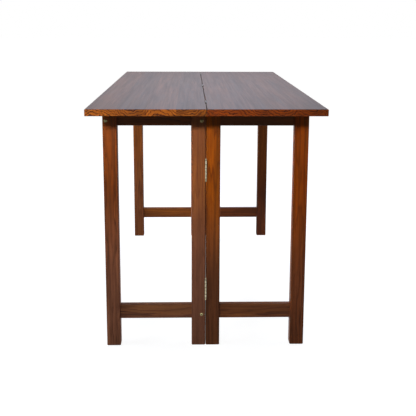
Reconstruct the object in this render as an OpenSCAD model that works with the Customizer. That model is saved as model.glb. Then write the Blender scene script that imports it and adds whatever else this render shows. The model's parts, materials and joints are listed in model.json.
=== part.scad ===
// Convertible console table: a fixed console base, a flip-over leaf, and a hinged gate at each
// end that swings out to carry the leaf.
// X runs across the table with the seam at 0, Y along it with the near end at -Y, Z up from the floor.

/* [Table top] */
// Length of both leaves, along the seam
top_l = 1400; // [1200:10:1600]
// Width of each leaf, from the seam to its long edge
leaf_w = 345; // [330:5:450]
// Thickness of both leaves
top_t = 20; // [18:1:28]
// Height of the upper face above the floor
top_h = 760; // [680:10:820]
// Radius of the eased arrises of both leaves
top_ease = 2; // [1:0.5:4]
// Gap between the two leaves at the seam
seam_gap = 1; // [0.6:0.2:2]
// Gap between the two upper faces when the leaf is folded over
stack_gap = 0.4; // [0.2:0.1:1]

/* [End frames and gates] */
// Overhang of each leaf's long edge past the outer legs
side_overhang = 37; // [21:2:75]
// Overhang of the top past the end frames
end_overhang = 105; // [70:5:140]
// Width of each leg, across the table
leg_w = 43; // [40:1:54]
// Depth of each leg, along the table
leg_d = 34; // [30:1:46]
// Radius of the eased arrises of the legs
leg_ease = 2.5; // [1:0.5:4]
// Chamfer round the foot of each leg
foot_chamfer = 3; // [1:0.5:5]
// Gap between a fixed leg and the gate leg hinged to it
leg_gap = 0.8; // [0.6:0.2:3]
// Gap between the top of a gate and the underside of the leaf that it carries
gate_gap = 0.3; // [0.2:0.1:1]

/* [Rails and stretchers] */
// Thickness of the short rails and stretchers
rail_t = 20; // [16:1:26]
// Height of the short top rails
rail_h = 43; // [36:1:60]
// Height of the short stretchers
stretcher_h = 45; // [34:1:60]
// Height of the lower edge of the short stretchers above the floor
stretcher_z = 88; // [60:2:120]
// Radius of the eased arrises of rails, stretchers, aprons and cleats
rail_ease = 1.5; // [0.5:0.5:3]
// Length of the tenons
tenon_l = 17; // [14:1:18]
// Thickness of the tenons
tenon_t = 9; // [7:1:12]
// Shoulder above and below the tenons
tenon_shoulder = 6; // [4:1:10]
// Glue gap round tenons and dowels
glue_gap = 0.1; // [0.05:0.05:0.3]
// Room for glue past the end of each tenon
tenon_end_gap = 0.5; // [0.2:0.1:0.8]

/* [Aprons and long stretcher] */
// Thickness of the aprons and of the long stretcher
apron_t = 20; // [18:1:26]
// Height of the aprons
apron_h = 56; // [52:2:80]
// Set-back of the outer apron behind the outer faces of the legs
outer_inset = 0; // [0:1:10]
// Set-back of the inner apron and the long stretcher behind the seam side of the legs
apron_inset = 2; // [1:0.5:4]
// Height of the long stretcher
long_h = 43; // [38:1:60]
// Height of the long stretcher's lower edge above the floor
long_z = 81; // [51:5:111]

/* [Frame bolts] */
// Diameter of the bolts
bolt_d = 6; // [5:1:8]
// Diameter of the domed bolt heads
bolt_head_d = 10; // [9:0.5:14]
// Height of the bolt heads
bolt_head_h = 1.8; // [1.2:0.2:2.6]
// Width across the flats of the hexagon socket
bolt_socket = 4; // [3:0.5:5]
// Reach of the bolts into the aprons
bolt_reach = 44; // [38:1:60]
// Distance of the barrel nuts from the apron ends
nut_reach = 32; // [24:1:32]
// Diameter of the barrel nuts
nut_d = 10; // [9:0.5:12]
// Length of the barrel nuts
nut_l = 14; // [12:1:16]
// Clearance of bolts and barrel nuts in their holes
bolt_clear = 0.4; // [0.2:0.1:0.8]
// Diameter of the locating dowels
dowel_d = 8; // [6:1:9]
// Depth of a dowel in each of the two pieces that it joins
dowel_in = 18; // [12:1:24]
// Distance of the dowels above and below the bolts in the aprons
dowel_apron = 15; // [13:1:18]
// Distance of the dowels above and below the bolts in the long stretcher
dowel_long = 12; // [11:1:13]

/* [Top fixing] */
// Side of the square cleats under the fixed leaf
cleat_s = 22; // [20:1:26]
// Length of the cleats
cleat_l = 140; // [100:10:200]
// Distance of the middle of each outer cleat from the nearer end of its apron
cleat_end = 210; // [130:10:240]
// Diameter of the cleat screws
cleat_screw_d = 4; // [3:0.5:5]
// Length of the cleat screws
cleat_screw_l = 33; // [28:1:36]
// Distance of the upright screws from the middle of their cleat
cleat_screw_y = 48; // [36:2:60]

/* [Gate hinges] */
// Length of the hinges, without the balls
gate_hinge_l = 58; // [50:4:90]
// Depth of each plate, from the pin
gate_plate_d = 25; // [22:1:28]
// Thickness of the plates
gate_plate_t = 1.8; // [1.4:0.1:2.5]
// Diameter of the knuckles
gate_knuckle_d = 6.6; // [6.2:0.2:8]
// Diameter of the pin
gate_pin_d = 3.6; // [3:0.1:4]
// Diameter of the balls on the ends of the pin
gate_ball_d = 6; // [5:0.2:6.4]
// Distance of the pin in front of the legs' outer faces
gate_pin_out = 1.5; // [1:0.1:2.5]
// Height of the middle of the upper hinges above the floor
upper_hinge_z = 563; // [483:5:603]
// Height of the middle of the lower hinges above the floor
lower_hinge_z = 187; // [182:5:262]
// Diameter of the hinge screws
gate_screw_d = 3.5; // [3:0.1:4]
// Length of the hinge screws
gate_screw_l = 15; // [12:1:18]

/* [Top hinges] */
// Length of the hinges
top_hinge_l = 50; // [40:5:70]
// Depth of each plate, from the pin
top_plate_d = 15; // [13:0.5:16]
// Thickness of the plates
top_plate_t = 1.2; // [1:0.1:1.6]
// Diameter of the knuckles
top_knuckle_d = 4.4; // [4.2:0.1:5]
// Diameter of the pin
top_pin_d = 2.2; // [1.8:0.1:2.4]
// Distance of the middle of the outer hinges from the ends of the leaves
top_hinge_end = 170; // [80:10:240]
// Diameter of the hinge screws
top_screw_d = 2.5; // [2:0.1:3]
// Length of the hinge screws
top_screw_l = 14; // [10:1:18]

/* [Hinge fits] */
// Number of knuckles on each hinge, an odd number
knuckles = 5; // [3:2:7]
// Running clearance round the pins
pin_clear = 0.05; // [0.02:0.01:0.1]
// Gap between neighbouring knuckles
knuckle_gap = 0.2; // [0.1:0.1:0.5]
// Clearance round the knuckles in plates and wood
knuckle_clear = 0.3; // [0.2:0.1:0.5]
// Clearance round the plates and screws where they are let in
seat_clear = 0.05; // [0.05:0.05:0.2]

/* [Hidden] */
// Overshoot of cutters past the face that they open
over = 1;
// Facets of round parts
$fn = 48;
// Places of the hinge screws, as shares of the hinge's length from its middle and of its plate's depth
screw_end_share = 0.35;
screw_near_share = 0.48;
screw_far_share = 0.7;

// Height of the underside of both leaves
under_z = top_h - top_t;
// Reach of an end frame and of a gate, from the seam to the outer face of its outer leg
frame_w = leaf_w - side_overhang;
// Outer face of the end frames, measured from the middle of the table
frame_y = top_l / 2 - end_overhang;
// Middle of the legs, rails and stretchers of an end frame
mid_y = frame_y - leg_d / 2;
// Inner face of the legs, where the aprons butt
inner_y = frame_y - leg_d;
// Middle of the inner and of the outer leg across the table
inner_leg_x = leg_gap / 2 + leg_w / 2;
outer_leg_x = frame_w - leg_w / 2;
// Clear width between the two legs of a frame
rail_l = frame_w - leg_gap / 2 - 2 * leg_w;
// Middle of the rails across the table
rail_x = leg_gap / 2 + leg_w + rail_l / 2;
// Middles of the aprons across the table
outer_apron_x = frame_w - outer_inset - apron_t / 2;
inner_apron_x = leg_gap / 2 + apron_inset + apron_t / 2;
// Heights of the bolts
apron_bolt_z = under_z - apron_h / 2;
long_bolt_z = long_z + long_h / 2;
// Height of the screws that hold the cleats to the aprons
cleat_z = under_z - cleat_s / 2;
// Middles of the outer cleats and of the outer top hinges, measured from the middle of the table
cleat_y = inner_y - cleat_end;
top_hinge_y = top_l / 2 - top_hinge_end;
// Pin axes of the gate hinges and of the top hinges
gate_pin_y = frame_y + gate_pin_out;
top_pin_z = top_h + stack_gap / 2;

// Hinge sizes handed to the hinge modules: length, plate depth, plate thickness, knuckle diameter,
// pin diameter, gap between the pieces joined, distance of the pin from their face,
// screw diameter, screw length, diameter of the balls on the pin, 0 for a domed pin
gate_hinge = [gate_hinge_l, gate_plate_d, gate_plate_t, gate_knuckle_d, gate_pin_d, leg_gap,
              gate_pin_out, gate_screw_d, gate_screw_l, gate_ball_d];
top_hinge = [top_hinge_l, top_plate_d, top_plate_t, top_knuckle_d, top_pin_d, seam_gap,
             stack_gap / 2, top_screw_d, top_screw_l, 0];

// Width and height of a screw head for a screw diameter
function screw_head_d(d) = 1.9 * d;
function screw_head_h(d) = 0.5 * d;
// Height of the collar under a ball, and reach of the pin's ends past the knuckles
function pin_collar_h(h) = 0.14 * h[3];
function pin_end_h(h) = h[9] > 0 ? pin_collar_h(h) + 0.95 * h[9] : 0.25 * h[3];
// Length of one knuckle's share of a hinge
function knuckle_pitch(h) = h[0] / knuckles;
// Depths at which the screws of a hinge plate stand, in a zigzag
function hinge_screw_depths(h) = h[1] * [screw_near_share, screw_far_share, screw_near_share];
// Places of the screws along a hinge
function hinge_screw_places(h) = h[0] * [-screw_end_share, 0, screw_end_share];

// Flat outline of a bar with round corners, centred
module bar_outline(w, d, r) {
    square([w - 2 * r, d], center = true);
    square([w, d - 2 * r], center = true);
    for (x = [-1, 1], y = [-1, 1])
        translate([x * (w / 2 - r), y * (d / 2 - r)]) circle(r);
}

// Bar along X, Y or Z with its four long arrises eased, centred
module bar_z(w, d, l, r) translate([0, 0, -l / 2]) linear_extrude(l) bar_outline(w, d, r);
module bar_x(l, d, h, r) rotate([0, 90, 0]) bar_z(h, d, l, r);
module bar_y(w, l, h, r) rotate([90, 0, 0]) bar_z(w, h, l, r);

// Leg centred on its own axis, with its arrises eased and its foot chamfered
module leg_blank(h) {
    intersection() {
        translate([0, 0, h / 2]) bar_z(leg_w, leg_d, h, leg_ease);
        rotate([90, 0, 0]) translate([0, 0, -leg_d]) linear_extrude(2 * leg_d)
            foot_outline(leg_w / 2, h);
        rotate([90, 0, 90]) translate([0, 0, -leg_w]) linear_extrude(2 * leg_w)
            foot_outline(leg_d / 2, h);
    }
}

// Side view of a leg with the two corners of its foot cut off
module foot_outline(half, h) polygon([
    [-half + foot_chamfer, 0], [half - foot_chamfer, 0], [half, foot_chamfer],
    [half, h], [-half, h], [-half, foot_chamfer]
]);

// Tenon of a rail or stretcher of height h, pointing along +X from its shoulder
module tenon(h) translate([0, -tenon_t / 2, -h / 2 + tenon_shoulder])
    cube([tenon_l, tenon_t, h - 2 * tenon_shoulder]);

// Mortise for that tenon, cut along +X from the leg's face
module mortise(h) translate([-over, -tenon_t / 2 - glue_gap, -h / 2 + tenon_shoulder - glue_gap])
    cube([tenon_l + over + tenon_end_gap, tenon_t + 2 * glue_gap, h - 2 * tenon_shoulder + 2 * glue_gap]);

// Rail or stretcher of height h with a tenon at both ends, centred
module tenoned_rail(h) {
    bar_x(rail_l, rail_t, h, rail_ease);
    for (side = [0, 1]) mirror([side, 0, 0]) translate([rail_l / 2, 0, 0]) tenon(h);
}

// Both mortises of a leg, for rails whose upper edge is at height top_z
module leg_mortises(top_z) {
    translate([0, 0, top_z - rail_h / 2]) mortise(rail_h);
    translate([0, 0, stretcher_z + stretcher_h / 2]) mortise(stretcher_h);
}

// Hinge pin along Z through the middle of the hinge, with a ball or a dome at both ends
module hinge_pin(h) {
    translate([0, 0, -h[0] / 2]) cylinder(d = h[4], h = h[0]);
    for (end = [0, 1]) mirror([0, 0, end]) translate([0, 0, h[0] / 2]) rotate_extrude()
        if (h[9] > 0) ball_outline(h); else dome_outline(h);
}

// Half section of a pin's low dome
module dome_outline(h) intersection() {
    dome_r = 0.55 * h[3];
    translate([0, pin_end_h(h) - dome_r]) circle(dome_r);
    square(dome_r);
}

// Half section of a ball that stands on a collar
module ball_outline(h) {
    square([0.4 * h[3], pin_collar_h(h)]);
    intersection() {
        translate([0, pin_end_h(h) - h[9] / 2]) circle(h[9] / 2);
        square(2 * h[9]);
    }
}

// One plate of a butt hinge on the side -1 or +1, pin axis on Z, plate reaching along +Y.
// The side -1 carries the outermost knuckles.
module hinge_plate(h, side) {
    pitch = knuckle_pitch(h);
    own = side < 0 ? 0 : 1;
    difference() {
        union() {
            translate([side > 0 ? h[5] / 2 : -h[5] / 2 - h[2], 0, -h[0] / 2]) cube([h[2], h[1], h[0]]);
            for (k = [own : 2 : knuckles - 1])
                translate([0, 0, -h[0] / 2 + k * pitch + knuckle_gap / 2])
                    cylinder(d = h[3], h = pitch - knuckle_gap);
        }
        for (k = [1 - own : 2 : knuckles - 1])
            translate([0, 0, -h[0] / 2 + k * pitch - knuckle_gap / 2])
                cylinder(d = h[3] + 2 * knuckle_clear, h = pitch + knuckle_gap);
        translate([0, 0, -h[0] / 2 - over]) cylinder(d = h[4] + 2 * pin_clear, h = h[0] + 2 * over);
        hinge_screw_sites(h, side) screw(h[7] + 2 * seat_clear, h[8] + over);
    }
}

// Puts its child at each screw of a hinge plate, with +Z pointing out of the plate's open face
module hinge_screw_sites(h, side) {
    for (i = [0 : 2])
        translate([side * h[5] / 2, hinge_screw_depths(h)[i], hinge_screw_places(h)[i]])
            rotate([0, -90 * side, 0]) children();
}

// Countersunk screw with its head flush with Z = 0 and its point down
module screw(d, l) {
    head_r = screw_head_d(d) / 2;
    head_h = screw_head_h(d);
    rotate_extrude() polygon([
        [0, 0], [head_r, 0], [d / 2, -head_h], [d / 2, -l + d], [0, -l]
    ]);
}

// Screw with a straight slot in its head
module slotted_screw(d, l) difference() {
    screw(d, l);
    cube([2 * screw_head_d(d), 0.22 * d, 0.5 * screw_head_h(d)], center = true);
}

// Everything that a hinge needs cut out of the wood on one side of it
module hinge_seat(h, side) {
    relief_l = h[0] + 2 * pin_end_h(h) + 2 * knuckle_clear;
    cylinder(d = h[3] + 2 * knuckle_clear, h = relief_l, center = true);
    translate([side > 0 ? 0 : -h[5] / 2 - h[2] - seat_clear, -over, -h[0] / 2 - seat_clear])
        cube([h[5] / 2 + h[2] + seat_clear, h[1] + over + seat_clear, h[0] + 2 * seat_clear]);
    hinge_screw_sites(h, side) screw(h[7] + 2 * seat_clear, h[8] + 2 * seat_clear);
}

// Puts its child at the pin of a near gate hinge at height z
module at_gate_hinge(z) translate([0, -gate_pin_y, z]) children();

// Puts its child at the pin of a top hinge at y, with the plates hanging down into the leaf edges
module at_top_hinge(y) translate([0, y, top_pin_z]) rotate([-90, 0, 0]) children();

// Mirrors a piece of the near end to the far end
module far_end() mirror([0, 1, 0]) children();

// Puts its child on the axis of a bolt at the near end, with +Z pointing out of the leg's face
module near_bolt_sites() {
    for (p = [[-outer_apron_x, apron_bolt_z], [-inner_apron_x, apron_bolt_z], [-inner_apron_x, long_bolt_z]])
        translate([p[0], -frame_y, p[1]]) rotate([90, 0, 0]) children();
}

// Domed bolt with a hexagon socket, its head seated on Z = 0
module frame_bolt() difference() {
    dome_r = (pow(bolt_head_d / 2, 2) + pow(bolt_head_h, 2)) / (2 * bolt_head_h);
    union() {
        rotate_extrude() intersection() {
            translate([0, bolt_head_h - dome_r]) circle(dome_r, $fn = 96);
            square([bolt_head_d, bolt_head_d]);
        }
        translate([0, 0, -leg_d - bolt_reach]) cylinder(d = bolt_d, h = leg_d + bolt_reach + bolt_head_h / 2);
    }
    translate([0, 0, bolt_head_h / 3]) cylinder(d = bolt_socket / cos(30), h = bolt_head_h, $fn = 6);
}

// Clearance hole for a bolt, through the leg and into the apron
module bolt_hole() translate([0, 0, -leg_d - bolt_reach - over])
    cylinder(d = bolt_d + 2 * bolt_clear, h = leg_d + bolt_reach + 2 * over);

// Barrel nut on the bolt's axis, its own axis across the table
module barrel_nut() translate([0, 0, -leg_d - nut_reach]) difference() {
    rotate([0, 90, 0]) cylinder(d = nut_d, h = nut_l, center = true);
    cylinder(d = bolt_d + 2 * pin_clear, h = 2 * nut_d, center = true);
}

// Blind hole for the barrel nut, opening on the side of the apron that faces -1 or +1 along X
module nut_hole(side) translate([0, 0, -leg_d - nut_reach]) rotate([0, 90 * side, 0])
    translate([0, 0, -nut_l / 2 - bolt_clear])
        cylinder(d = nut_d + 2 * bolt_clear, h = nut_l / 2 + bolt_clear + apron_t);

// Puts its child on the axis of each dowel at the near end, where leg and apron meet
module near_dowel_sites() {
    for (p = [[-outer_apron_x, apron_bolt_z, dowel_apron], [-inner_apron_x, apron_bolt_z, dowel_apron],
              [-inner_apron_x, long_bolt_z, dowel_long]])
        for (side = [-1, 1]) translate([p[0], -inner_y, p[1] + side * p[2]]) rotate([90, 0, 0]) children();
}

module dowel(gap) cylinder(d = dowel_d + 2 * gap, h = 2 * dowel_in + 2 * gap, center = true);

// All holes drilled at the near end for bolts and dowels
module near_end_drilling() {
    near_bolt_sites() bolt_hole();
    near_dowel_sites() dowel(glue_gap);
}

// Puts its child at the middle of each cleat; side is +1 where the apron lies towards +X
module cleat_sites() {
    for (y = [-cleat_y, 0, cleat_y]) {
        translate([-outer_apron_x + apron_t / 2 + cleat_s / 2, y, cleat_z]) children();
        translate([-inner_apron_x - apron_t / 2 - cleat_s / 2, y, cleat_z]) mirror([1, 0, 0]) children();
    }
}

// Puts its child at each upright screw of a cleat, with +Z pointing down out of the cleat
module cleat_leaf_screw_sites() cleat_sites() for (y = [-cleat_screw_y, cleat_screw_y])
    translate([0, y, -cleat_s / 2]) rotate([180, 0, 0]) children();

// Puts its child at the screw between each cleat and its apron
module cleat_apron_screw_sites() cleat_sites() translate([cleat_s / 2, 0, 0]) rotate([0, 90, 0]) children();

// Leaf with eased arrises, reaching along +X from the seam
module leaf_blank() translate([(leaf_w + seam_gap / 2) / 2, 0, under_z + top_t / 2]) intersection() {
    bar_y(leaf_w - seam_gap / 2, top_l, top_t, top_ease);
    bar_x(leaf_w, top_l, top_t, top_ease);
}

// Plates' seats of the three top hinges in the leaf on one side
module top_hinge_seats(side) for (y = [-top_hinge_y, 0, top_hinge_y])
    at_top_hinge(y) hinge_seat(top_hinge, side);

module fixed_leaf() color("saddlebrown") difference() {
    mirror([1, 0, 0]) leaf_blank();
    top_hinge_seats(-1);
    cleat_leaf_screw_sites() screw(cleat_screw_d + 2 * seat_clear, cleat_screw_l + seat_clear);
}

module folding_leaf() color("saddlebrown") difference() {
    leaf_blank();
    top_hinge_seats(1);
}

// Apron or long stretcher between the end frames, its middle at x and z
module long_rail(x, z, h) translate([x, 0, z]) bar_y(apron_t, 2 * inner_y, h, rail_ease);

module outer_apron() color("sienna") difference() {
    long_rail(-outer_apron_x, apron_bolt_z, apron_h);
    for (far = [0, 1]) mirror([0, far, 0]) {
        near_end_drilling();
        near_bolt_sites() nut_hole(1);
    }
    cleat_apron_screw_sites() screw(cleat_screw_d + 2 * seat_clear, cleat_screw_l + seat_clear);
}

module inner_apron() color("sienna") difference() {
    long_rail(-inner_apron_x, apron_bolt_z, apron_h);
    for (far = [0, 1]) mirror([0, far, 0]) {
        near_end_drilling();
        near_bolt_sites() nut_hole(-1);
    }
    cleat_apron_screw_sites() screw(cleat_screw_d + 2 * seat_clear, cleat_screw_l + seat_clear);
}

module long_stretcher() color("sienna") difference() {
    long_rail(-inner_apron_x, long_bolt_z, long_h);
    for (far = [0, 1]) mirror([0, far, 0]) {
        near_end_drilling();
        near_bolt_sites() nut_hole(-1);
    }
}

module near_outer_leg() color("chocolate") difference() {
    translate([-outer_leg_x, -mid_y, 0]) leg_blank(under_z);
    translate([-outer_leg_x + leg_w / 2, -mid_y, 0]) mirror([1, 0, 0]) leg_mortises(under_z);
    near_end_drilling();
}

module near_inner_leg() color("chocolate") difference() {
    translate([-inner_leg_x, -mid_y, 0]) leg_blank(under_z);
    translate([-inner_leg_x - leg_w / 2, -mid_y, 0]) leg_mortises(under_z);
    near_end_drilling();
    for (z = [upper_hinge_z, lower_hinge_z]) at_gate_hinge(z) hinge_seat(gate_hinge, -1);
}

module near_top_rail() color("chocolate")
    translate([-rail_x, -mid_y, under_z - rail_h / 2]) tenoned_rail(rail_h);

module near_stretcher() color("chocolate")
    translate([-rail_x, -mid_y, stretcher_z + stretcher_h / 2]) tenoned_rail(stretcher_h);

// Gate pieces of the near end, on the folding leaf's side of the seam
gate_z = under_z - gate_gap;

module near_gate_hinge_leg() color("peru") difference() {
    translate([inner_leg_x, -mid_y, 0]) leg_blank(gate_z);
    translate([inner_leg_x + leg_w / 2, -mid_y, 0]) mirror([1, 0, 0]) leg_mortises(gate_z);
    for (z = [upper_hinge_z, lower_hinge_z]) at_gate_hinge(z) hinge_seat(gate_hinge, 1);
}

module near_gate_outer_leg() color("peru") difference() {
    translate([outer_leg_x, -mid_y, 0]) leg_blank(gate_z);
    translate([outer_leg_x - leg_w / 2, -mid_y, 0]) leg_mortises(gate_z);
}

module near_gate_rail() color("peru")
    translate([rail_x, -mid_y, gate_z - rail_h / 2]) tenoned_rail(rail_h);

module near_gate_stretcher() color("peru")
    translate([rail_x, -mid_y, stretcher_z + stretcher_h / 2]) tenoned_rail(stretcher_h);

module near_frame_bolts() color("darkkhaki") near_bolt_sites() frame_bolt();

module barrel_nuts() color("silver") for (far = [0, 1]) mirror([0, far, 0]) near_bolt_sites() barrel_nut();

module locating_dowels() color("wheat") for (far = [0, 1]) mirror([0, far, 0]) near_dowel_sites() dowel(0);

module top_cleats() color("burlywood") difference() {
    cleat_sites() bar_y(cleat_s, cleat_l, cleat_s, rail_ease);
    cleat_leaf_screw_sites() screw(cleat_screw_d + 2 * seat_clear, cleat_screw_l);
    cleat_apron_screw_sites() screw(cleat_screw_d + 2 * seat_clear, cleat_screw_l);
}

module cleat_apron_screws() color("dimgray")
    cleat_apron_screw_sites() slotted_screw(cleat_screw_d, cleat_screw_l);

module cleat_leaf_screws() color("dimgray")
    cleat_leaf_screw_sites() slotted_screw(cleat_screw_d, cleat_screw_l);

// Plate, pin and screws of the gate hinge of the near end at height z
module gate_hinge_plate(z, side) color("gold") at_gate_hinge(z) hinge_plate(gate_hinge, side);
module gate_hinge_pin(z) color("khaki") at_gate_hinge(z) hinge_pin(gate_hinge);
module near_gate_screws(side) for (z = [upper_hinge_z, lower_hinge_z])
    at_gate_hinge(z) hinge_screw_sites(gate_hinge, side) slotted_screw(gate_screw_d, gate_screw_l);

// Plate and pin of the top hinge at y
module top_hinge_plate(y, side) color("darkslategray") at_top_hinge(y) hinge_plate(top_hinge, side);
module top_hinge_pin(y) color("gray") at_top_hinge(y) hinge_pin(top_hinge);
module top_hinge_screws(side) color("gray") for (y = [-top_hinge_y, 0, top_hinge_y])
    at_top_hinge(y) hinge_screw_sites(top_hinge, side) slotted_screw(top_screw_d, top_screw_l);

fixed_leaf();
outer_apron();
inner_apron();
long_stretcher();
near_outer_leg();
near_inner_leg();
near_top_rail();
near_stretcher();
far_end() near_outer_leg();  // far_outer_leg
far_end() near_inner_leg();  // far_inner_leg
far_end() near_top_rail();  // far_top_rail
far_end() near_stretcher();  // far_stretcher
near_frame_bolts();
far_end() near_frame_bolts();  // far_frame_bolts
barrel_nuts();
locating_dowels();
top_cleats();
cleat_apron_screws();
cleat_leaf_screws();
gate_hinge_plate(upper_hinge_z, -1);  // near_upper_frame_plate
gate_hinge_pin(upper_hinge_z);  // near_upper_pin
gate_hinge_plate(lower_hinge_z, -1);  // near_lower_frame_plate
gate_hinge_pin(lower_hinge_z);  // near_lower_pin
far_end() gate_hinge_plate(upper_hinge_z, -1);  // far_upper_frame_plate
far_end() gate_hinge_pin(upper_hinge_z);  // far_upper_pin
far_end() gate_hinge_plate(lower_hinge_z, -1);  // far_lower_frame_plate
far_end() gate_hinge_pin(lower_hinge_z);  // far_lower_pin
color("gold") for (far = [0, 1])  // frame_hinge_screws
    mirror([0, far, 0]) near_gate_screws(-1);
near_gate_hinge_leg();
near_gate_outer_leg();
near_gate_rail();
near_gate_stretcher();
gate_hinge_plate(upper_hinge_z, 1);  // near_upper_gate_plate
gate_hinge_plate(lower_hinge_z, 1);  // near_lower_gate_plate
color("gold") near_gate_screws(1);  // near_gate_hinge_screws
far_end() near_gate_hinge_leg();  // far_gate_hinge_leg
far_end() near_gate_outer_leg();  // far_gate_outer_leg
far_end() near_gate_rail();  // far_gate_rail
far_end() near_gate_stretcher();  // far_gate_stretcher
far_end() gate_hinge_plate(upper_hinge_z, 1);  // far_upper_gate_plate
far_end() gate_hinge_plate(lower_hinge_z, 1);  // far_lower_gate_plate
color("gold") far_end() near_gate_screws(1);  // far_gate_hinge_screws
folding_leaf();
top_hinge_plate(-top_hinge_y, -1);  // near_top_hinge_fixed_plate
top_hinge_plate(-top_hinge_y, 1);  // near_top_hinge_leaf_plate
top_hinge_pin(-top_hinge_y);  // near_top_hinge_pin
top_hinge_plate(0, -1);  // middle_top_hinge_fixed_plate
top_hinge_plate(0, 1);  // middle_top_hinge_leaf_plate
top_hinge_pin(0);  // middle_top_hinge_pin
top_hinge_plate(top_hinge_y, -1);  // far_top_hinge_fixed_plate
top_hinge_plate(top_hinge_y, 1);  // far_top_hinge_leaf_plate
top_hinge_pin(top_hinge_y);  // far_top_hinge_pin
top_hinge_screws(-1);  // fixed_leaf_hinge_screws
top_hinge_screws(1);  // folding_leaf_hinge_screws
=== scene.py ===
import json
import math

import bmesh
import bpy
from mathutils import Euler, Matrix, Vector


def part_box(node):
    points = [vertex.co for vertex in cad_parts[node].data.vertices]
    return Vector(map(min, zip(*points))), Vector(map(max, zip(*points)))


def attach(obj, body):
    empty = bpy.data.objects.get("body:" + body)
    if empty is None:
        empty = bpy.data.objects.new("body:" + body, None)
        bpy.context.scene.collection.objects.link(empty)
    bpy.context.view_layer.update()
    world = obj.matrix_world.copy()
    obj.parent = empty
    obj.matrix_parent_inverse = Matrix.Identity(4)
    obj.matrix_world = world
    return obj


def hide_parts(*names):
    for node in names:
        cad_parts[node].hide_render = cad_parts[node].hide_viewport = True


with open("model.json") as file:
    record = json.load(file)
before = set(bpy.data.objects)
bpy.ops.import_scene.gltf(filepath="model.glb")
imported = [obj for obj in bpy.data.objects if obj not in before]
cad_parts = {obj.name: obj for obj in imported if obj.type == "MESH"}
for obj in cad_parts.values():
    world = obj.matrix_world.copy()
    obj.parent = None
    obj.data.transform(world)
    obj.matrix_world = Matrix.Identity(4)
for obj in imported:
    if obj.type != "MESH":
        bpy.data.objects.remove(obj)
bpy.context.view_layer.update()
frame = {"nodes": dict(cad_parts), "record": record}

# Camera
# A 63 mm lens on a full-frame body stands two metres in front of the near end, a little above the
# table top and left of its seam. It looks slightly down, with the lens shifted to keep the legs upright.
camera_place = (-0.0473, -2.7317, 1.0196)
camera_down = 0.1826
camera_right = 0.0249
camera_roll = 0.0037
lens_mm = 62.86
sensor_mm = 36.0
lens_shift = -0.14
view_length = 200.0

camera = bpy.data.objects.new("camera", bpy.data.cameras.new("camera"))
bpy.context.scene.collection.objects.link(camera)
bpy.context.scene.camera = camera
camera.data.lens = lens_mm
camera.data.sensor_width = sensor_mm
camera.data.shift_y = lens_shift
camera.data.clip_end = view_length
aim = Euler((math.pi / 2 - camera_down, 0.0, -camera_right), "XYZ").to_matrix()
camera.matrix_world = Matrix.Translation(camera_place) @ (aim @ Matrix.Rotation(camera_roll, 3, "Z")).to_4x4()


# Studio
# The table stands on a wide pale floor without a horizon. Two narrow lamps from the front left light its near
# end, two wide ones stand at its sides, and a strong bluish one high behind gives the top its broad sheen.
def linear(colour):
    """An sRGB hex colour such as "8c4a24" as linear red, green, blue and alpha."""
    parts = [int(colour[i:i + 2], 16) / 255 for i in (0, 2, 4)]
    return [c / 12.92 if c <= 0.04045 else ((c + 0.055) / 1.055) ** 2.4 for c in parts] + [1.0]


def add_node(tree, kind, inputs=None, **settings):
    """Adds a node with its settings, and gives each input a value or a link from another node."""
    node = tree.nodes.new(kind)
    for name, value in settings.items():
        setattr(node, name, value)
    for socket, value in (inputs or {}).items():
        if isinstance(value, bpy.types.Node):
            value = next(output for output in value.outputs if output.enabled)
        if isinstance(value, bpy.types.NodeSocket):
            tree.links.new(value, node.inputs[socket])
        else:
            node.inputs[socket].default_value = value
    return node


def new_material(name):
    """An empty material with that name, and its node tree."""
    material = bpy.data.materials.new(name)
    material.use_nodes = True
    material.node_tree.nodes.clear()
    return material, material.node_tree


def new_piece(name, mesh, material):
    """An object with that mesh and one material, at the origin."""
    piece = bpy.data.objects.new(name, mesh)
    bpy.context.scene.collection.objects.link(piece)
    mesh.materials.clear()
    mesh.materials.append(material)
    return piece


def seen_in_picture(tree):
    """1 for what the lens sees, in a gloss or through glass too, and 0 for what only lights other things."""
    rays = add_node(tree, "ShaderNodeLightPath").outputs
    seen = add_node(tree, "ShaderNodeMath", {0: rays["Is Camera Ray"], 1: rays["Is Glossy Ray"]},
                    operation="MAXIMUM")
    return add_node(tree, "ShaderNodeMath", {0: seen, 1: rays["Is Transmission Ray"]}, operation="MAXIMUM")


# Matt studio paper: no sheen, a soft shadow under the table, and plain white away from it
floor_half = 30.0
floor_colour = "8c8c8c"
floor_glow = 0.915
lit_radius = 1.2
white_radius = 3.0

paper, tree = new_material("matt_studio_paper")
place = add_node(tree, "ShaderNodeTexCoord").outputs["Object"]
away = add_node(tree, "ShaderNodeVectorMath", {0: place}, operation="LENGTH")
glow = add_node(tree, "ShaderNodeMapRange", {"Value": away, "From Min": lit_radius, "From Max": white_radius,
                                             "To Min": floor_glow, "To Max": 1.0})
glow = add_node(tree, "ShaderNodeMath", {0: seen_in_picture(tree), 1: glow}, operation="MULTIPLY")
matt = add_node(tree, "ShaderNodeBsdfDiffuse", {"Color": linear(floor_colour)})
white = add_node(tree, "ShaderNodeEmission", {"Strength": glow})
both = add_node(tree, "ShaderNodeAddShader", {0: matt, 1: white})
add_node(tree, "ShaderNodeOutputMaterial", {"Surface": both})

sheet = bpy.data.meshes.new("floor")
sheet.from_pydata([(x * floor_half, y * floor_half, 0.0) for x, y in ((-1, -1), (1, -1), (1, 1), (-1, 1))],
                  [], [(0, 1, 2, 3)])
new_piece("floor", sheet, paper)

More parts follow.
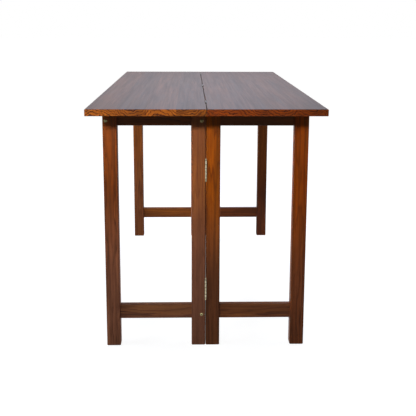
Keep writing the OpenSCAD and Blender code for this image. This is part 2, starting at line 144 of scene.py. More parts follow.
# The room is white to the lens and gives the table only a little light
room_light = 0.05
room = bpy.data.worlds.new("studio")
room.use_nodes = True
bpy.context.scene.world = room
tree = room.node_tree
tree.nodes.clear()
strength = add_node(tree, "ShaderNodeMapRange", {"Value": seen_in_picture(tree), "To Min": room_light,
                                                 "To Max": 1.0})
sky = add_node(tree, "ShaderNodeBackground", {"Color": (1.0, 1.0, 1.0, 1.0), "Strength": strength})
add_node(tree, "ShaderNodeOutputWorld", {"Surface": sky})
bpy.context.scene.view_settings.view_transform = "Standard"

# Soft boxes: place, what they face, width and height, watts, degrees that their grid leaves open, and colour
lamps = {
    "key_lamp": ((-2.1, -4.6, 2.75), (-0.25, -0.6, 1.0), (1.0, 0.7), 3.9, 16.0, "fff4e9"),
    "front_lamp": ((-2.1, -4.6, 2.75), (-0.25, -0.6, 0.9), (1.2, 0.8), 1.8, 34.0, "e9f4ff"),
    "left_lamp": ((-3.6, -0.8, 1.8), (0.0, 0.2, 0.5), (2.2, 1.8), 27.0, 90.0, "e9f4ff"),
    "right_lamp": ((3.6, 0.4, 1.8), (0.0, 0.2, 0.5), (2.2, 1.8), 18.0, 90.0, "e9f4ff"),
    "back_lamp": ((0.1, 3.4, 3.6), (0.0, 0.6, 0.5), (2.0, 1.2), 56.0, 90.0, "cfe2ff"),
}
for name, (place, target, size, watts, spread, colour) in lamps.items():
    lamp = bpy.data.lights.new(name, "AREA")
    lamp.shape = "RECTANGLE"
    lamp.size, lamp.size_y = size
    lamp.energy = watts
    lamp.spread = math.radians(spread)
    lamp.color = linear(colour)[:3]
    stand = bpy.data.objects.new(name, lamp)
    bpy.context.scene.collection.objects.link(stand)
    facing = (Vector(target) - Vector(place)).to_track_quat("-Z", "Y")
    stand.matrix_world = Matrix.Translation(place) @ facing.to_matrix().to_4x4()


# Two leaves of the top
# Each leaf is glued up from four staves of solid hardwood, planed, eased at its arrises, stained walnut
# and sprayed with satin lacquer. The ends are cut square, so their growth rings show as arches.
def stained_hardwood(name, tones, place, turn, seed, sheen, ring=0.0055, pith=(0.03, 0.06), half=(1.0, 1.0),
                     stave=None, ends=None, foot=None, half_length=1.0):
    """Solid hardwood, stained and lacquered: growth rings round a pith, streaks of stain, pores along the
    grain and painted shade at the arrises. tones are hex colours of latewood, earlywood and streaks.
    place and turn put the board's own axes, grain along Z, in the frame. sheen is the lacquer's roughness,
    ring the width of a year, and pith how far to the side and how deep the pith may lie. half is the board's
    half width and half thickness, left out where no shade is painted at the arrises. stave is the width of
    the staves that it is glued up from, each with its own rings and tone. ends are the colours of latewood
    and earlywood on the sawn ends, where they differ from the faces; on the leaves they are painted lighter,
    as the light that falls on the ends. foot is the colour that the earlywood of a leg turns to at its foot,
    painted light for the sheen of the pale floor and the light falling off down the leg, and half_length is
    half the length of that leg."""
    lacquer_shine = 0.15
    # Painted shade along the eased arrises: 3 mm wide, down to 0.62 of the colour at the edge
    arris_width, arris_painted_shade = 0.003, 0.62
    material, tree = new_material(name)
    where = add_node(tree, "ShaderNodeTexCoord").outputs
    board = add_node(tree, "ShaderNodeMapping", {"Vector": where["Object"], "Location": place,
                                                 "Rotation": turn}, vector_type="TEXTURE")
    x, y, z = add_node(tree, "ShaderNodeSeparateXYZ", {0: board}).outputs

    # Number of the stave, a random colour for it, and the place across it. A board is one very wide stave.
    width, first, centred = (stave, 0.0, 0.5) if stave else (10.0, 0.5, 0.0)
    count = add_node(tree, "ShaderNodeMath", {0: x, 1: width}, operation="DIVIDE")
    count = add_node(tree, "ShaderNodeMath", {0: count, 1: first}, operation="ADD")
    number = add_node(tree, "ShaderNodeMath", {0: count}, operation="FLOOR")
    key = add_node(tree, "ShaderNodeCombineXYZ", {0: number, 1: seed})
    chance = add_node(tree, "ShaderNodeTexWhiteNoise", {"Vector": key}, noise_dimensions="2D")
    chance = chance.outputs["Color"]
    chances = add_node(tree, "ShaderNodeSeparateColor", {0: chance}).outputs
    middle = add_node(tree, "ShaderNodeMath", {0: number, 1: centred}, operation="ADD")
    middle = add_node(tree, "ShaderNodeMath", {0: middle, 1: width}, operation="MULTIPLY")
    across = add_node(tree, "ShaderNodeMath", {0: x, 1: middle}, operation="SUBTRACT")

    # Sawn ends, where the face lies across the grain
    facing = add_node(tree, "ShaderNodeMapping", {"Vector": where["Normal"], "Rotation": turn},
                      vector_type="TEXTURE")
    facing = add_node(tree, "ShaderNodeSeparateXYZ", {0: facing}).outputs[2]
    facing = add_node(tree, "ShaderNodeMath", {0: facing}, operation="ABSOLUTE")
    sawn = add_node(tree, "ShaderNodeMapRange", {"Value": facing, "From Min": 0.6, "From Max": 0.9})

    # Noise drawn out along the grain: its repeats in a metre across it and along it, and how detailed it is
    scales = {
        "wander": (14.0, 1.6, 2.0),     # wide bends of the grain, 70 by 600 mm
        "ripple": (75.0, 5.0, 2.0),     # small bends, 13 by 200 mm
        "streaks": (125.0, 3.2, 3.0),   # streaks that the stain leaves, 8 by 300 mm
        "blotches": (10.0, 2.6, 2.0),   # blotches of stain, 100 by 400 mm
        "clouds": (30.0, 2.2, 2.0),     # lighter and darker parts, 30 by 450 mm
        "fibres": (520.0, 9.0, 2.0),    # bundles of fibres, 2 by 110 mm
        "pores": (1100.0, 55.0, 1.0),   # pores 18 mm long, drawn 0.9 mm wide so that they show
    }
    shift = add_node(tree, "ShaderNodeVectorMath", {0: chance, 1: (9.0, 7.0, 5.0)}, operation="MULTIPLY")
    apart = add_node(tree, "ShaderNodeVectorMath", {0: board, 1: shift}, operation="ADD")
    marks = {}
    for mark, (wide, long, detail) in scales.items():
        drawn_out = add_node(tree, "ShaderNodeMapping", {"Vector": apart, "Scale": (wide, wide, long)})
        marks[mark] = add_node(tree, "ShaderNodeTexNoise", {"Vector": drawn_out, "Scale": 1.0,
                                                            "Detail": detail})

    # Growth rings: distance from the pith in ring widths, where the grain wanders by 9 mm and ripples by 3 mm
    bends = [add_node(tree, "ShaderNodeMapRange", {"Value": marks[mark], "From Min": 0.3, "From Max": 0.7,
                                                   "To Min": -reach, "To Max": reach}, clamp=False)
             for mark, reach in (("wander", 0.009), ("ripple", 0.003))]
    drift = add_node(tree, "ShaderNodeMath", {0: bends[0], 1: bends[1]}, operation="ADD")
    sideways, down = pith
    pith_x = add_node(tree, "ShaderNodeMapRange", {"Value": chances[0], "To Min": -sideways,
                                                   "To Max": sideways})
    pith_side = add_node(tree, "ShaderNodeMath", {0: chances[1], 1: 0.5}, operation="GREATER_THAN")
    pith_y = add_node(tree, "ShaderNodeMapRange", {"Value": pith_side, "To Min": -down, "To Max": down})
    off_x = add_node(tree, "ShaderNodeMath", {0: across, 1: pith_x}, operation="SUBTRACT")
    off_y = add_node(tree, "ShaderNodeMath", {0: y, 1: pith_y}, operation="SUBTRACT")
    off = add_node(tree, "ShaderNodeCombineXYZ", {0: off_x, 1: off_y})
    radius = add_node(tree, "ShaderNodeVectorMath", {0: off}, operation="LENGTH")
    radius = add_node(tree, "ShaderNodeMath", {0: radius, 1: drift}, operation="ADD")
    rings = add_node(tree, "ShaderNodeMath", {0: radius, 1: ring}, operation="DIVIDE")

    # A year darkens slowly to its latewood and ends sharply, and some years are darker than others
    within = add_node(tree, "ShaderNodeMath", {0: rings}, operation="FRACT")
    late = add_node(tree, "ShaderNodeValToRGB", {0: within})
    stops = late.color_ramp.elements
    for position in (0.45, 0.72, 0.88):
        stops.new(position)
    for stop, dark in zip(stops, (0.05, 0.12, 0.55, 1.0, 0.25)):
        stop.color = (dark, dark, dark, 1.0)
    year = add_node(tree, "ShaderNodeMath", {0: rings}, operation="FLOOR")
    year = add_node(tree, "ShaderNodeTexWhiteNoise", {"W": year}, noise_dimensions="1D")
    year = add_node(tree, "ShaderNodeMapRange", {"Value": year, "To Min": 0.12, "To Max": 1.0})
    late = add_node(tree, "ShaderNodeMath", {0: late, 1: year}, operation="MULTIPLY")
    depth = add_node(tree, "ShaderNodeMapRange", {"Value": sawn, "To Min": 1.0, "To Max": 1.6})
    late = add_node(tree, "ShaderNodeMath", {0: late, 1: depth}, operation="MULTIPLY")

    # Colour of the wood. Down a leg it turns to the foot's colour, its tones as far apart as above: painted
    # light, for the sheen of the pale floor and the light falling off toward the foot.
    latewood, earlywood, streak = (linear(tone) for tone in tones)
    end_late, end_early = (linear(tone) for tone in ends or tones[:2])
    if foot:
        painted_light_starts, painted_light_full = 0.45 * half_length, -0.55 * half_length
        low = add_node(tree, "ShaderNodeMapRange", {"Value": z, "From Min": painted_light_starts, "From Max": painted_light_full},
                       interpolation_type="SMOOTHSTEP")
        shares = [sum(tone[:3]) / sum(earlywood[:3]) for tone in (latewood, earlywood, streak)]
        latewood, earlywood, streak = (
            add_node(tree, "ShaderNodeMix", {0: low, 6: tone, 7: [share * part for part in linear(foot)]},
                     data_type="RGBA")
            for tone, share in zip((latewood, earlywood, streak), shares))
    # Sawn ends take their own colours; on the leaves these are painted lighter, as the light falling on the
    # ends
    light = add_node(tree, "ShaderNodeMix", {0: sawn, 6: earlywood, 7: end_early}, data_type="RGBA")
    deep = add_node(tree, "ShaderNodeMix", {0: sawn, 6: latewood, 7: end_late}, data_type="RGBA")
    colour = add_node(tree, "ShaderNodeMix", {0: late, 6: light, 7: deep}, data_type="RGBA")

    # Streaks and blotches of stain, which the sawn ends hardly have
    clear = add_node(tree, "ShaderNodeMapRange", {"Value": sawn, "To Min": 1.0, "To Max": 0.15})
    for mark, start, full, cover in (("streaks", 0.42, 0.68, 0.75), ("blotches", 0.45, 0.62, 0.65)):
        smear = add_node(tree, "ShaderNodeMapRange", {
            "Value": marks[mark], "From Min": start, "From Max": full, "To Max": cover},
            interpolation_type="SMOOTHSTEP")
        smear = add_node(tree, "ShaderNodeMath", {0: smear, 1: clear}, operation="MULTIPLY")
        colour = add_node(tree, "ShaderNodeMix", {0: smear, 6: colour, 7: streak}, data_type="RGBA")

    # Lighter and darker: staves, clouds, fibres, pores, and painted shade along the eased arrises
    darkest, lightest = (0.8, 1.15) if stave else (1.0, 1.0)
    tone = add_node(tree, "ShaderNodeMapRange", {"Value": chances[2], "To Min": darkest, "To Max": lightest})
    cloudy = add_node(tree, "ShaderNodeMapRange", {"Value": marks["clouds"], "From Min": 0.3, "From Max": 0.7,
                                                   "To Min": 0.78, "To Max": 1.22}, clamp=False)
    grainy = add_node(tree, "ShaderNodeMapRange", {"Value": marks["fibres"], "From Min": 0.3, "From Max": 0.7,
                                                   "To Min": 0.86, "To Max": 1.12}, clamp=False)
    pores = add_node(tree, "ShaderNodeMapRange", {"Value": marks["pores"], "From Min": 0.62,
                                                  "From Max": 0.72}, interpolation_type="SMOOTHSTEP")
    dots = add_node(tree, "ShaderNodeMapRange", {"Value": pores, "To Min": 1.0, "To Max": 0.6})
    from_edge = []
    for aside, reach in zip((x, y), half):
        aside = add_node(tree, "ShaderNodeMath", {0: aside}, operation="ABSOLUTE")
        from_edge.append(add_node(tree, "ShaderNodeMath", {0: reach, 1: aside}, operation="SUBTRACT"))
    arris = add_node(tree, "ShaderNodeMath", {0: from_edge[0], 1: from_edge[1]}, operation="ADD")
    arris = add_node(tree, "ShaderNodeMapRange", {"Value": arris, "From Max": arris_width,
                                                  "To Min": arris_painted_shade}, interpolation_type="SMOOTHSTEP")
    for part in (cloudy, grainy, dots, arris):
        tone = add_node(tree, "ShaderNodeMath", {0: tone, 1: part}, operation="MULTIPLY")
    colour = add_node(tree, "ShaderNodeVectorMath", {0: colour, "Scale": tone}, operation="SCALE")

    # Satin lacquer, a little duller over the streaks, sunk into the pores
    gloss = add_node(tree, "ShaderNodeMapRange", {"Value": marks["streaks"], "From Min": 0.3, "From Max": 0.7,
                                                  "To Min": sheen - 0.02, "To Max": sheen + 0.03})
    relief = add_node(tree, "ShaderNodeMath", {0: marks["fibres"], 1: pores}, operation="SUBTRACT")
    bump = add_node(tree, "ShaderNodeBump", {"Height": relief, "Strength": 0.15, "Distance": 0.0002})
    surface = add_node(tree, "ShaderNodeBsdfPrincipled", {
        "Base Color": colour, "Roughness": gloss, "IOR": 1.45, "Specular IOR Level": lacquer_shine,
        "Normal": bump})
    add_node(tree, "ShaderNodeOutputMaterial", {"Surface": surface})
    return material


def dress(node, material):
    """Gives a piece of the frame its finish."""
    mesh = frame["nodes"][node].data
    mesh.materials.clear()
    mesh.materials.append(material)


def middle_of(node):
    """Middle of a node's box, and half its size."""
    low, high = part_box(node)
    return (low + high) / 2, (high - low) / 2


# Turns that lay a board's own Z, the grain, along the frame's X, Y or Z
grain_across = (0.0, math.pi / 2, 0.0)
grain_along = (-math.pi / 2, 0.0, 0.0)
grain_up = (0.0, 0.0, 0.0)

# Walnut stain under satin lacquer: dark brown with soft streaks and a broad, even sheen, and ends painted
# a brighter orange than the faces, as the light that falls on them, with nearly black rings. Tones, colours
# of the ends, and a seed.
staves = 4
leaves = {
    "fixed_leaf": (("432815", "4f2f1b", "452b18"), ("351003", "a55a15"), 3.0),
    "folding_leaf": (("402614", "4b2c1a", "422817"), ("250a02", "863a06"), 8.0),
}
for leaf, (tones, ends, seed) in leaves.items():
    centre, size = middle_of(leaf)
    dress(leaf, stained_hardwood("walnut_stained_" + leaf, tones, centre, grain_along, seed, sheen=0.62,
                                 ring=0.0075, half=(size.x, size.z), stave=2 * size.x / staves, ends=ends))


# End frames, gates, aprons and long stretcher
# Legs, rails and stretchers are sawn from single lengths of the same hardwood, joined by mortise and
# tenon, stained and lacquered. The aprons and the long stretcher are bolted between the end frames.

# The same stain, which each board took differently, from orange to dark brown. Some tones also hold painted
# light: the rails' tone is painted shade under the top, and the far gate's tones are painted shade, with
# painted light at the heads of its legs. It is warm at the head of a leg and greyer at its foot, as painted
# light for the sheen of the pale floor and the light falling off down the leg. Latewood, earlywood and
# streaks, and the earlywood of each leg at its foot.
plain = ("4b2309", "874110", "5b3012")
red = ("5b331e", "9b5b2d", "744227")
orange = ("5a2601", "9f4e02", "6a3708")
rust = ("632700", "af4e01", "743a07")
# Far gate's legs: lighter at the head, painted light against the top's shadow, with painted shade at the foot
shaded = ("4f2a0e", "8a4916", "603410")
deep = ("723815", "bb6220", "85471b")
# Far gate's stretcher: darker, painted shade
dim = ("361709", "5c2d10", "401f0c")
# Rails under the top: a darker tone, painted shade added to the real shadow that the top casts
dark = ("3a1e0c", "683613", "48260d")
russet = ("5b3424", "9b5d34", "74442e")
umber = ("4a280f", "814617", "5a3111")
faded = ("653e30", "ab6d44", "81503d")
# Earlywood at each leg's foot, painted light: greyer for the pale floor's sheen, darker as shade on the far
# gate
painted_foot_light = {plain: "b77352", red: "ab6d50", orange: "8d5230", rust: "914f2c", shaded: "7d4726", deep: "582910"}
boards = {
    "near_outer_leg": (grain_up, plain), "near_inner_leg": (grain_up, red),
    "far_outer_leg": (grain_up, shaded), "far_inner_leg": (grain_up, red),
    "near_gate_hinge_leg": (grain_up, orange), "near_gate_outer_leg": (grain_up, rust),
    "far_gate_hinge_leg": (grain_up, deep), "far_gate_outer_leg": (grain_up, deep),
    "near_top_rail": (grain_across, dark), "near_stretcher": (grain_across, faded),
    "far_top_rail": (grain_across, dark), "far_stretcher": (grain_across, umber),
    "near_gate_rail": (grain_across, dark), "near_gate_stretcher": (grain_across, russet),
    "far_gate_rail": (grain_across, dark), "far_gate_stretcher": (grain_across, dim),
    "outer_apron": (grain_along, russet), "inner_apron": (grain_along, russet),
    "long_stretcher": (grain_along, russet),
}
first_seed = 20.0
for number, (board, (turn, tones)) in enumerate(boards.items()):
    centre, size = middle_of(board)
    half = {grain_up: (size.x, size.y), grain_across: (size.z, size.y), grain_along: (size.x, size.z)}[turn]
    foot = painted_foot_light[tones] if board.endswith("_leg") else None
    dress(board, stained_hardwood("walnut_stained_" + board, tones, centre, turn, first_seed + number,
                                  sheen=0.5, pith=(0.02, 0.05), half=half, foot=foot, half_length=size.z))


# Cleats and dowels
# Square cleats of plain beech under the fixed leaf take its screws. Fluted beech dowels stand in glue
# beside each frame bolt and keep the aprons and the long stretcher from turning.

# Planed beech, only sealed: pale straw brown, close rings and hardly any sheen
beech = ("8a6238", "c49a66", "a87c4a")
beech_sheen, beech_ring = 0.6, 0.004
cleat_seed, dowel_seed = 51.0, 57.0
dress("top_cleats", stained_hardwood("planed_beech_cleats", beech, middle_of("top_cleats")[0], grain_along,
                                     cleat_seed, beech_sheen, beech_ring))
dowel_beech = stained_hardwood("fluted_beech_dowels", beech, middle_of("locating_dowels")[0], grain_along,
                               dowel_seed, beech_sheen, beech_ring)

# Corners of a node's loose triangles that lie closer together than this are one
same_corner = 1e-6


def solids_of(node):
    """The separate solids of a node, each as a list of its corners, in the order of their places."""
    shape = bmesh.new()
    shape.from_mesh(frame["nodes"][node].data)
    bmesh.ops.remove_doubles(shape, verts=shape.verts, dist=same_corner)
    left, solids = set(shape.verts), []
    while left:
        reached = [left.pop()]
        solid = []
        while reached:
            corner = reached.pop()
            solid.append(corner.co.copy())
            near = {link.other_vert(corner) for link in corner.link_edges} & left
            left -= near
            reached += near
        solids.append(solid)
    shape.free()
    return sorted(solids, key=lambda solid: [round(min(corner[i] for corner in solid), 4) for i in range(3)])


def places_of(node):
    """Where each long round solid of a node ends, and the way that its wider end faces, with the length
    and the greatest width that all of them share."""
    end_share = 0.15
    places = []
    for solid in solids_of(node):
        low, high = (Vector([pick(corner[i] for corner in solid) for i in range(3)]) for pick in (min, max))
        middle, size = (low + high) / 2, high - low
        along = max(range(3), key=lambda i: size[i])
        width = {}
        for end, side in ((low, -1), (high, 1)):
            tip = [corner - middle for corner in solid
                   if abs(corner[along] - end[along]) < end_share * size[along]]
            for offset in tip:
                offset[along] = 0.0
            width[side] = max(offset.length for offset in tip)
        side = 1 if width[1] >= width[-1] else -1
        out = Vector([side if i == along else 0.0 for i in range(3)])
        places.append((middle + out * size[along] / 2, out))
    return places, size[along], 2 * max(width.values())


def new_tree(name, sizes, vectors):
    """A Geometry Nodes tree that takes points, named sizes, named vectors for the places and boxes of its
    parts, and a material. Gives the tree and the sockets that bring them."""
    tree = bpy.data.node_groups.new(name, "GeometryNodeTree")
    kinds = {"Geometry": "Geometry", **dict.fromkeys(sizes, "Float"), **dict.fromkeys(vectors, "Vector"),
             "Material": "Material"}
    for socket, kind in kinds.items():
        tree.interface.new_socket(socket, in_out="INPUT", socket_type="NodeSocket" + kind)
    tree.interface.new_socket("Geometry", in_out="OUTPUT", socket_type="NodeSocketGeometry")
    return tree, add_node(tree, "NodeGroupInput").outputs


# Faces that meet more sharply than this keep their edge. The seed is for how far bolts and screws are turned.
crease = math.radians(32)
turn_seed = 7


def put_on_points(tree, came, parts, turned=False):
    """Ends a tree: joins the parts, puts a copy on each point with its Z along the point's own way out,
    turned by chance where wished, and makes all of it real, in the material that came in."""
    whole = add_node(tree, "GeometryNodeJoinGeometry")
    for part in parts:
        tree.links.new(part.outputs[0], whole.inputs[0])
    out = add_node(tree, "GeometryNodeInputNamedAttribute", {"Name": "out"}, data_type="FLOAT_VECTOR")
    turn = add_node(tree, "FunctionNodeAlignRotationToVector", {"Vector": out}, axis="Z")
    if turned:
        chance = add_node(tree, "FunctionNodeRandomValue", {"Seed": turn_seed, 3: 2 * math.pi},
                          data_type="FLOAT")
        twist = add_node(tree, "FunctionNodeAxisAngleToRotation", {"Axis": (0.0, 0.0, 1.0), "Angle": chance})
        turn = add_node(tree, "FunctionNodeRotateRotation", {0: turn, 1: twist}, rotation_space="LOCAL")
    copies = add_node(tree, "GeometryNodeInstanceOnPoints", {"Points": came["Geometry"], "Instance": whole,
                                                             "Rotation": turn})
    real = add_node(tree, "GeometryNodeRealizeInstances", {0: copies})
    angle = add_node(tree, "GeometryNodeInputMeshEdgeAngle")
    sharp = add_node(tree, "FunctionNodeCompare", {0: angle, 1: crease}, operation="GREATER_THAN")
    smooth = add_node(tree, "GeometryNodeSetShadeSmooth", {"Geometry": real, "Shade Smooth": True},
                      domain="FACE")
    soft = add_node(tree, "GeometryNodeSetShadeSmooth", {"Geometry": smooth, "Selection": sharp,
                                                         "Shade Smooth": False}, domain="EDGE")
    dressed = add_node(tree, "GeometryNodeSetMaterial", {"Geometry": soft, "Material": came["Material"]})
    add_node(tree, "NodeGroupOutput", {"Geometry": dressed})


def put_in_place_of(node, mesh, material):
    """Makes a piece of that mesh and material, which stands for a node, on its body, and hides the node."""
    piece = new_piece("made_" + node, mesh, material)
    record = frame["record"]
    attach(piece, next(body for body, nodes in record["behaviour"]["bodies"].items() if node in nodes))
    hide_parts(node)


def grow(node, tree, values, material, places):
    """Puts what a tree makes from those values at those places in place of a node, as one plain mesh."""
    points = bpy.data.meshes.new(node + "_points")
    points.from_pydata([place for place, out in places], [], [])
    ways = points.attributes.new("out", "FLOAT_VECTOR", "POINT")
    for way, (place, out) in zip(ways.data, places):
        way.vector = out
    seed = bpy.data.objects.new(node + "_points", points)
    bpy.context.scene.collection.objects.link(seed)
    modifier = seed.modifiers.new("grown", "NODES")
    modifier.node_group = tree
    values = dict(values, Material=material)
    for socket in tree.interface.items_tree:
        if socket.in_out == "INPUT" and socket.name in values:
            modifier[socket.identifier] = values[socket.name]
    ready = seed.evaluated_get(bpy.context.evaluated_depsgraph_get())
    mesh = bpy.data.meshes.new_from_object(ready)
    bpy.data.objects.remove(seed)
    put_in_place_of(node, mesh, material)


def below(depth):
    """The place that far under the point that a part is put on."""
    return 0.0, 0.0, -depth


# A dowel is a rod with pressed flutes and chamfered ends. Their depths are shares of its radius.
flutes = 24
flute_floor = 0.93
chamfer_length, chamfer_end = 0.0015, 0.82
tree, came = new_tree("fluted_dowel", ["Radius", "Length", "Half Length"], ["Middle"])
rod = add_node(tree, "GeometryNodeMeshCylinder", {"Vertices": 4 * flutes, "Side Segments": 24,
                                                  "Radius": came["Radius"], "Depth": came["Length"]})
at = add_node(tree, "GeometryNodeInputPosition")
x, y, z = add_node(tree, "ShaderNodeSeparateXYZ", {0: at}).outputs
round_it = add_node(tree, "ShaderNodeMath", {0: y, 1: x}, operation="ARCTAN2")
wave = add_node(tree, "ShaderNodeMath", {0: round_it, 1: flutes}, operation="MULTIPLY")
wave = add_node(tree, "ShaderNodeMath", {0: wave}, operation="COSINE")
groove = add_node(tree, "ShaderNodeMapRange", {"Value": wave, "From Min": -1.0, "To Min": flute_floor,
                                               "To Max": 1.0})
height = add_node(tree, "ShaderNodeMath", {0: z}, operation="ABSOLUTE")
to_end = add_node(tree, "ShaderNodeMath", {0: came["Half Length"], 1: height}, operation="SUBTRACT")
chamfer = add_node(tree, "ShaderNodeMapRange", {"Value": to_end, "From Max": chamfer_length,
                                                "To Min": chamfer_end})
narrow = add_node(tree, "ShaderNodeMath", {0: groove, 1: chamfer}, operation="MULTIPLY")
scale = add_node(tree, "ShaderNodeCombineXYZ", {"X": narrow, "Y": narrow, "Z": 1.0})
moved = add_node(tree, "ShaderNodeVectorMath", {0: at, 1: scale}, operation="MULTIPLY")
rod = add_node(tree, "GeometryNodeSetPosition", {"Geometry": rod, "Position": moved})
rod = add_node(tree, "GeometryNodeTransform", {"Geometry": rod, "Translation": came["Middle"]})
put_on_points(tree, came, [rod])
places, length, width = places_of("locating_dowels")
grow("locating_dowels", tree, {"Radius": width / 2, "Length": length, "Half Length": length / 2,
                               "Middle": below(length / 2)}, dowel_beech, places)


# Frame bolts and barrel nuts
# Brass plated M6 bolts with a low domed head and a hexagon socket draw each end frame on to the aprons and
# the long stretcher. Their rolled threads run into zinc plated steel barrel nuts in the rails' sides.

# Painted shade on brass and bronze is nearly black, with a little brown
painted_shade_colour = "2b2112"


def aged_metal(name, bright, dull, rough, barrel=None, painted_shade_above=None):
    """Turned or pressed metal that has dulled in patches. bright and dull are hex colours, and rough is the
    roughness of the bright parts. barrel is the middle, turn, radius and knuckle length of a hinge's barrel,
    which gets painted shade in the joints between its knuckles and along both its sides. The last argument
    is a height above which shade is painted on all of the metal."""
    # Repeats in a metre: dull patches are 6 mm wide, and specks 0.7 mm
    patch_scale, speck_scale = 1 / 0.006, 1400.0
    material, tree = new_material(name)
    place = add_node(tree, "ShaderNodeTexCoord").outputs["Object"]
    clouds = add_node(tree, "ShaderNodeTexNoise", {"Vector": place, "Scale": patch_scale, "Detail": 3.0})
    specks = add_node(tree, "ShaderNodeTexNoise", {"Vector": place, "Scale": speck_scale, "Detail": 2.0})
    cover = add_node(tree, "ShaderNodeMapRange", {"Value": clouds, "From Min": 0.42, "From Max": 0.62},
                     interpolation_type="SMOOTHSTEP")
    spotted = add_node(tree, "ShaderNodeMapRange", {"Value": specks, "From Min": 0.58, "From Max": 0.7})
    cover = add_node(tree, "ShaderNodeMath", {0: cover, 1: spotted}, operation="MAXIMUM")
    colour = add_node(tree, "ShaderNodeMix", {0: cover, 6: linear(bright), 7: linear(dull)}, data_type="RGBA")
    painted_shade = None
    # Painted shade on all of the metal above a height, for the bolts that sit under the top
    if painted_shade_above:
        height = add_node(tree, "ShaderNodeSeparateXYZ", {0: place}).outputs[2]
        painted_shade = add_node(tree, "ShaderNodeMapRange", {"Value": height, "From Min": painted_shade_above,
                                                      "From Max": painted_shade_above + 0.01, "To Max": 0.45})
    if barrel:
        # Painted shade in the joints between knuckles, drawn about 1 mm wide, and along both sides of the
        # barrel
        middle, turn, radius, knuckle = barrel
        own = add_node(tree, "ShaderNodeMapping", {"Vector": place, "Location": middle, "Rotation": turn},
                       vector_type="TEXTURE")
        x, y, z = add_node(tree, "ShaderNodeSeparateXYZ", {0: own}).outputs
        count = add_node(tree, "ShaderNodeMath", {0: z, 1: 1 / knuckle, 2: 0.5}, operation="MULTIPLY_ADD")
        joint = add_node(tree, "ShaderNodeMath", {0: count, 1: 0.5}, operation="PINGPONG")
        joint = add_node(tree, "ShaderNodeMapRange", {"Value": joint, "From Min": 0.02, "From Max": 0.11,
                                                      "To Min": 1.0, "To Max": 0.0})
        side = add_node(tree, "ShaderNodeMath", {0: x}, operation="ABSOLUTE")
        side = add_node(tree, "ShaderNodeMapRange", {"Value": side, "From Min": 0.35 * radius,
                                                     "From Max": 0.95 * radius, "To Max": 0.9})
        painted_shade = add_node(tree, "ShaderNodeMath", {0: joint, 1: side}, operation="MAXIMUM")
        flat = add_node(tree, "ShaderNodeCombineXYZ", {"X": x, "Y": y})
        far = add_node(tree, "ShaderNodeVectorMath", {0: flat}, operation="LENGTH")
        on_it = add_node(tree, "ShaderNodeMapRange", {"Value": far, "From Min": 1.1 * radius,
                                                      "From Max": 1.3 * radius, "To Min": 1.0, "To Max": 0.0})
        painted_shade = add_node(tree, "ShaderNodeMath", {0: painted_shade, 1: on_it}, operation="MULTIPLY")
    if painted_shade:
        colour = add_node(tree, "ShaderNodeMix", {0: painted_shade, 6: colour, 7: linear(painted_shade_colour)}, data_type="RGBA")
    gloss = add_node(tree, "ShaderNodeMapRange", {"Value": cover, "To Min": rough, "To Max": rough + 0.2})
    bump = add_node(tree, "ShaderNodeBump", {"Height": specks, "Strength": 0.15, "Distance": 0.0001})
    surface = add_node(tree, "ShaderNodeBsdfPrincipled", {"Base Color": colour, "Metallic": 1.0,
                                                          "Roughness": gloss, "Normal": bump})
    add_node(tree, "ShaderNodeOutputMaterial", {"Surface": surface})
    return material


thread_sizes = ["Thread Radius", "Thread End Radius", "Thread Length", "Turns", "Ridge"]


def thread(tree, came):
    """A ridge wound round Z, up from the thread's place."""
    path = add_node(tree, "GeometryNodeCurveSpiral", {
        "Resolution": 14, "Rotations": came["Turns"], "Start Radius": came["Thread Radius"],
        "End Radius": came["Thread End Radius"], "Height": came["Thread Length"]})
    path = add_node(tree, "GeometryNodeSetCurveNormal", {"Curve": path}, mode="Z_UP")
    outline = add_node(tree, "GeometryNodeCurvePrimitiveCircle", {"Resolution": 4, "Radius": came["Ridge"]})
    ridge = add_node(tree, "GeometryNodeCurveToMesh", {"Curve": path, "Profile Curve": outline,
                                                       "Fill Caps": True})
    return add_node(tree, "GeometryNodeTransform", {"Geometry": ridge, "Translation": came["Thread Place"]})


# Antiqued brass plate: dull greenish yellow with browner patches, and painted shade close under the top
bolt_brass = aged_metal("antiqued_brass", "928b64", "5f553a", 0.32, painted_shade_above=0.5)
rim = 0.0003
tree, came = new_tree("domed_bolt", ["Head Radius", "Dome", "Socket Radius", "Socket Length", "Shank Radius",
                                     "Shank Length"] + thread_sizes,
                      ["Head Place", "Shank Place", "Thread Place"])
head = add_node(tree, "GeometryNodeMeshCylinder", {
    "Vertices": 48, "Fill Segments": 10, "Radius": came["Head Radius"], "Depth": rim}, fill_type="NGON")
at = add_node(tree, "GeometryNodeInputPosition")
x, y, z = add_node(tree, "ShaderNodeSeparateXYZ", {0: at}).outputs
flat = add_node(tree, "ShaderNodeCombineXYZ", {"X": x, "Y": y})
far = add_node(tree, "ShaderNodeVectorMath", {0: flat}, operation="LENGTH")
share = add_node(tree, "ShaderNodeMath", {0: far, 1: came["Head Radius"]}, operation="DIVIDE")
bow = add_node(tree, "ShaderNodeMath", {0: share, 1: 2.0}, operation="POWER")
bow = add_node(tree, "ShaderNodeMath", {0: 1.0, 1: bow}, operation="SUBTRACT")
rise = add_node(tree, "ShaderNodeMath", {0: bow, 1: came["Dome"]}, operation="MULTIPLY")
lift = add_node(tree, "ShaderNodeCombineXYZ", {"Z": rise})
head = add_node(tree, "GeometryNodeSetPosition", {"Geometry": head, "Selection": head.outputs["Top"],
                                                  "Offset": lift})
head = add_node(tree, "GeometryNodeTransform", {"Geometry": head, "Translation": came["Head Place"]})
key = add_node(tree, "GeometryNodeMeshCylinder", {"Vertices": 6, "Radius": came["Socket Radius"],
                                                  "Depth": came["Socket Length"]})
head = add_node(tree, "GeometryNodeMeshBoolean", {0: head, 1: key}, operation="DIFFERENCE", solver="EXACT")
